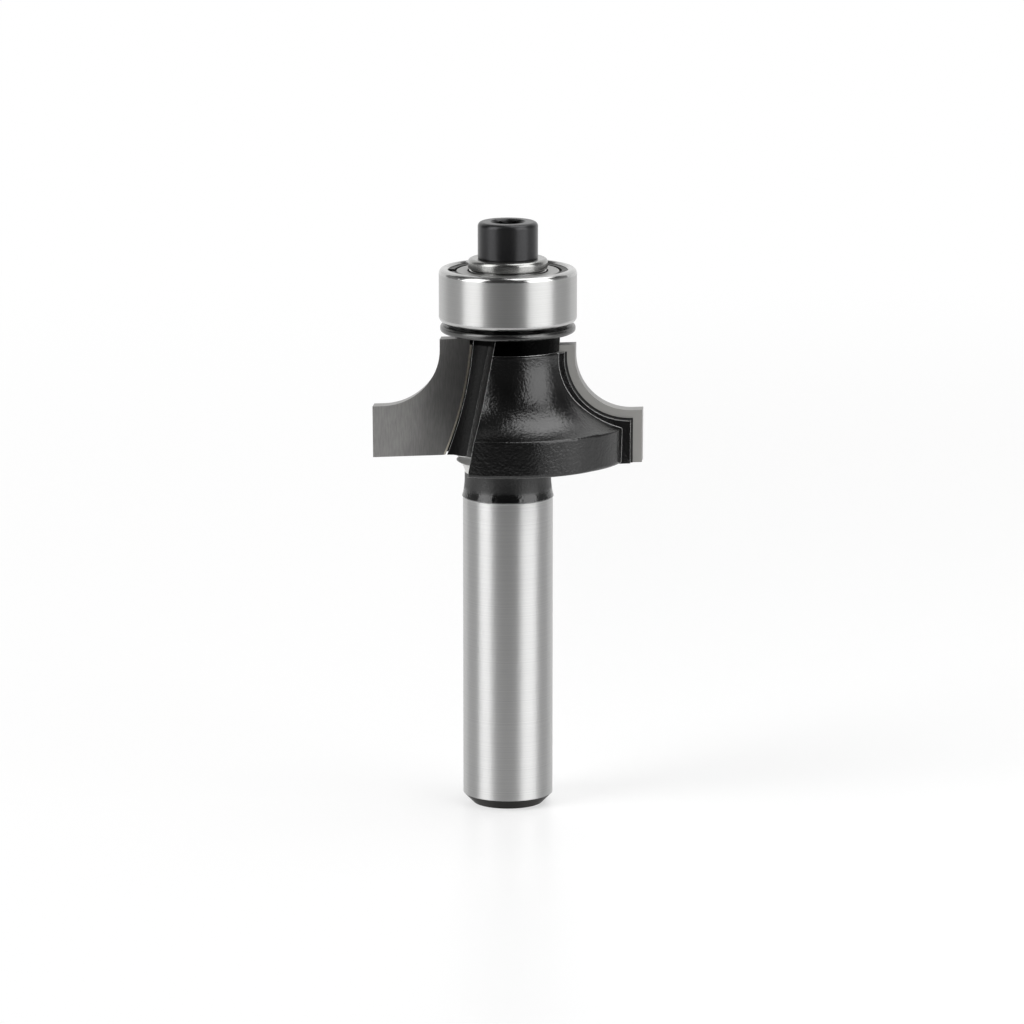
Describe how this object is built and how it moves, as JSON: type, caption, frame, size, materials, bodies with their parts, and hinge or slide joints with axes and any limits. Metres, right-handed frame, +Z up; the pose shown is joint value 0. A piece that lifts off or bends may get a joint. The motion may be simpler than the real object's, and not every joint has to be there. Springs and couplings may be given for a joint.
{
  "type": "router bit",
  "caption": "Cove router bit: straight ground shank, black fluted cutter body with brazed carbide tips, and a ball-bearing guide held on its nose by washers and a socket-head screw.",
  "frame": {"origin": "centre of the shank's end face, on the surface that the bit stands on", "axes": "+Z up the bit's axis from the shank towards the guide bearing; the rake face of wing 1 looks towards -Y, on the -X side"},
  "size_m": [0.024, 0.0198, 0.0525],
  "materials": {
    "tool_steel": "ground bright on the shank, black satin coating on the cutter body",
    "carbide": "ground grey carbide",
    "braze": "silver-brass braze, left as it flowed",
    "bearing_steel": "ground bright",
    "ball_steel": "polished",
    "cage_steel": "pressed",
    "shield_steel": "matt pressed sheet",
    "clip_steel": "spring steel wire",
    "washer_steel": "turned steel, darkened",
    "black_oxide_steel": "black oxide, satin"
  },
  "bodies": {
    "bit": {"bit_body": "tool_steel", "carbide_tip_1": "carbide", "carbide_tip_2": "carbide", "braze_1": "braze", "braze_2": "braze", "dust_washer": "washer_steel", "bearing_inner_ring": "bearing_steel", "retaining_washer": "washer_steel", "cap_screw": "black_oxide_steel"},
    "guide_ring": {"bearing_outer_ring": "bearing_steel", "bearing_shield_lower": "shield_steel", "bearing_shield_upper": "shield_steel", "shield_clip_lower": "clip_steel", "shield_clip_upper": "clip_steel"},
    "ball_cage": {"cage_half_lower": "cage_steel", "cage_half_upper": "cage_steel", "cage_rivets": "cage_steel"},
    "ball_1": {"bearing_ball_1": "ball_steel"},
    "ball_2": {"bearing_ball_2": "ball_steel"},
    "ball_3": {"bearing_ball_3": "ball_steel"},
    "ball_4": {"bearing_ball_4": "ball_steel"},
    "ball_5": {"bearing_ball_5": "ball_steel"},
    "ball_6": {"bearing_ball_6": "ball_steel"},
    "ball_7": {"bearing_ball_7": "ball_steel"}
  },
  "joints": [
    {"name": "guide_ring_spin", "type": "hinge", "parent": "bit", "child": "guide_ring", "pos_m": [0, 0, 0.04601], "axis": [0, 0, 1], "continuous": true},
    {"name": "ball_cage_spin", "type": "hinge", "parent": "bit", "child": "ball_cage", "pos_m": [0, 0, 0.04601], "axis": [0, 0, 1], "continuous": true},
    {"name": "ball_1_spin", "type": "hinge", "parent": "ball_cage", "child": "ball_1", "pos_m": [0.00424, 0, 0.04601], "axis": [0, 0, 1], "continuous": true},
    {"name": "ball_2_spin", "type": "hinge", "parent": "ball_cage", "child": "ball_2", "pos_m": [0.00264, 0.00331, 0.04601], "axis": [0, 0, 1], "continuous": true},
    {"name": "ball_3_spin", "type": "hinge", "parent": "ball_cage", "child": "ball_3", "pos_m": [-0.00094, 0.00413, 0.04601], "axis": [0, 0, 1], "continuous": true},
    {"name": "ball_4_spin", "type": "hinge", "parent": "ball_cage", "child": "ball_4", "pos_m": [-0.00382, 0.00184, 0.04601], "axis": [0, 0, 1], "continuous": true},
    {"name": "ball_5_spin", "type": "hinge", "parent": "ball_cage", "child": "ball_5", "pos_m": [-0.00382, -0.00184, 0.04601], "axis": [0, 0, 1], "continuous": true},
    {"name": "ball_6_spin", "type": "hinge", "parent": "ball_cage", "child": "ball_6", "pos_m": [-0.00094, -0.00413, 0.04601], "axis": [0, 0, 1], "continuous": true},
    {"name": "ball_7_spin", "type": "hinge", "parent": "ball_cage", "child": "ball_7", "pos_m": [0.00264, -0.00331, 0.04601], "axis": [0, 0, 1], "continuous": true}
  ],
  "couplings": [
    {"joint": "ball_cage_spin", "follows": "guide_ring_spin", "ratio": 0.64033},
    {"joint": "ball_1_spin", "follows": "guide_ring_spin", "ratio": 1.6412},
    {"joint": "ball_2_spin", "follows": "guide_ring_spin", "ratio": 1.6412},
    {"joint": "ball_3_spin", "follows": "guide_ring_spin", "ratio": 1.6412},
    {"joint": "ball_4_spin", "follows": "guide_ring_spin", "ratio": 1.6412},
    {"joint": "ball_5_spin", "follows": "guide_ring_spin", "ratio": 1.6412},
    {"joint": "ball_6_spin", "follows": "guide_ring_spin", "ratio": 1.6412},
    {"joint": "ball_7_spin", "follows": "guide_ring_spin", "ratio": 1.6412}
  ]
}
